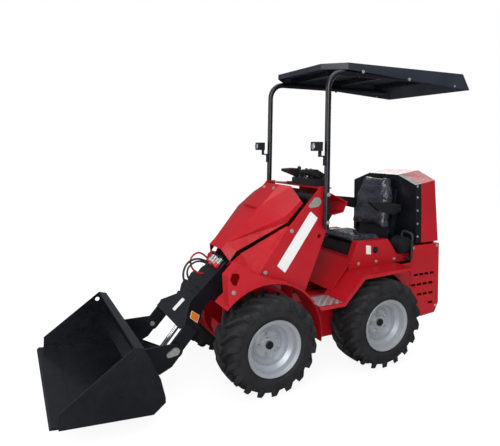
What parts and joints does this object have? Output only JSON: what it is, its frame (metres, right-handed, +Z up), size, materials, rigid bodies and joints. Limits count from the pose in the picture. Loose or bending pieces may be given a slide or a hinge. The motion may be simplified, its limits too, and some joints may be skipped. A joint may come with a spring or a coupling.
{
  "type": "compact wheel loader",
  "caption": "Sit-on compact wheel loader with a lifting box boom, tilting bucket, canopy on two bent posts, rear engine hood and four equal lugged wheels.",
  "frame": {"origin": "centre of the overall box, on the ground", "axes": "+X to the front (bucket end), +Y to the machine's left, +Z up"},
  "size_m": [2.688, 0.99, 1.884],
  "materials": {
    "red_paint": "gloss",
    "black_paint": "gloss",
    "steel": "satin",
    "chrome_rod": "polished",
    "silver_paint": "satin",
    "tyre": "matte",
    "seat_vinyl": "satin",
    "black_plastic": "matte",
    "lamp_black": "matte",
    "iron": "matte"
  },
  "bodies": {
    "machine": {"chassis": "red_paint", "tower_crown": "red_paint", "tower_back": "red_paint", "boom_pin": "steel", "lift_bracket": "red_paint", "control_console": "black_paint", "control_levers": "black_plastic", "seat_box": "red_paint", "seat_frame": "black_paint", "seat_cushion": "seat_vinyl", "seat_back": "seat_vinyl", "engine_block": "iron", "rear_body": "red_paint", "air_cleaner": "black_paint", "air_hose": "black_paint", "drawbar": "red_paint", "canopy_roof": "black_paint", "canopy_crossbars": "black_paint", "wheel_motors_front": "steel", "wheel_motors_rear": "steel", "tower_side_left": "red_paint", "tower_side_right": "red_paint", "tower_shoulder_left": "red_paint", "tower_shoulder_right": "red_paint", "front_fender_left": "red_paint", "front_fender_right": "red_paint", "side_step_left": "red_paint", "side_step_right": "red_paint", "canopy_post_left": "black_paint", "canopy_post_right": "black_paint", "work_light_left": "lamp_black", "work_light_right": "lamp_black"},
    "boom": {"boom_arm": "black_paint", "boom_cover": "red_paint"},
    "bucket_body": {"quick_hitch": "black_paint", "hitch_pins": "steel", "bucket": "black_paint"},
    "lift_barrel": {"lift_cylinder_barrel": "black_paint"},
    "lift_rod": {"lift_cylinder_rod": "chrome_rod"},
    "tilt_barrel": {"tilt_cylinder_barrel": "black_paint"},
    "tilt_rod": {"tilt_cylinder_rod": "chrome_rod"},
    "hood": {"engine_hood": "red_paint", "hood_screen": "black_paint"},
    "arm_left": {"armrest_left": "black_plastic"},
    "arm_right": {"armrest_right": "black_plastic"},
    "wheel_front_left": {"wheel_rim_front_left": "silver_paint", "tyre_front_left": "tyre"},
    "wheel_front_right": {"wheel_rim_front_right": "silver_paint", "tyre_front_right": "tyre"},
    "wheel_rear_left": {"wheel_rim_rear_left": "silver_paint", "tyre_rear_left": "tyre"},
    "wheel_rear_right": {"wheel_rim_rear_right": "silver_paint", "tyre_rear_right": "tyre"}
  },
  "joints": [
    {"name": "wheel_front_left_spin", "type": "hinge", "parent": "machine", "child": "wheel_front_left", "pos_m": [0.17, 0.3575, 0.292], "axis": [0, 1, 0], "continuous": true},
    {"name": "wheel_front_right_spin", "type": "hinge", "parent": "machine", "child": "wheel_front_right", "pos_m": [0.17, -0.3575, 0.292], "axis": [0, 1, 0], "continuous": true},
    {"name": "wheel_rear_left_spin", "type": "hinge", "parent": "machine", "child": "wheel_rear_left", "pos_m": [-0.642, 0.3575, 0.292], "axis": [0, 1, 0], "continuous": true},
    {"name": "wheel_rear_right_spin", "type": "hinge", "parent": "machine", "child": "wheel_rear_right", "pos_m": [-0.642, -0.3575, 0.292], "axis": [0, 1, 0], "continuous": true},
    {"name": "boom_lift", "type": "hinge", "parent": "machine", "child": "boom", "pos_m": [-0.176, 0, 1.087], "axis": [0, -1, 0], "range_deg": [-6, 60]},
    {"name": "lift_barrel_swing", "type": "hinge", "parent": "machine", "child": "lift_barrel", "pos_m": [-0.516, 0, 0.262], "axis": [0, -1, 0], "range_deg": [-3, 26]},
    {"name": "lift_rod_slide", "type": "slide", "parent": "lift_barrel", "child": "lift_rod", "axis": [0.963, 0, 0.2696], "range_m": [-0.063, 0.616]},
    {"name": "bucket_tilt", "type": "hinge", "parent": "boom", "child": "bucket_body", "pos_m": [0.676, 0, 0.296], "axis": [0, -1, 0], "range_deg": [-60, 20]},
    {"name": "tilt_barrel_swing", "type": "hinge", "parent": "boom", "child": "tilt_barrel", "pos_m": [0.354, 0, 0.61], "axis": [0, -1, 0], "range_deg": [-9, 4]},
    {"name": "tilt_rod_slide", "type": "slide", "parent": "tilt_barrel", "child": "tilt_rod", "axis": [0.6465, 0, -0.7629], "range_m": [-0.072, 0.025]},
    {"name": "engine_hood_hinge", "type": "hinge", "parent": "machine", "child": "hood", "pos_m": [-1.212, 0, 0.772], "axis": [0, -1, 0], "range_deg": [0, 70]},
    {"name": "armrest_left_hinge", "type": "hinge", "parent": "machine", "child": "arm_left", "pos_m": [-0.926, 0.207, 0.998], "axis": [0, -1, 0], "range_deg": [0, 80]},
    {"name": "armrest_right_hinge", "type": "hinge", "parent": "machine", "child": "arm_right", "pos_m": [-0.926, -0.207, 0.998], "axis": [0, -1, 0], "range_deg": [0, 80]}
  ],
  "couplings": [
    {"joint": "lift_barrel_swing", "follows": "boom_lift", "ratio": 0.427},
    {"joint": "lift_rod_slide", "follows": "boom_lift", "m_per_rad": 0.5862},
    {"joint": "tilt_barrel_swing", "follows": "bucket_tilt", "ratio": 0.1382},
    {"joint": "tilt_rod_slide", "follows": "bucket_tilt", "m_per_rad": 0.064}
  ]
}
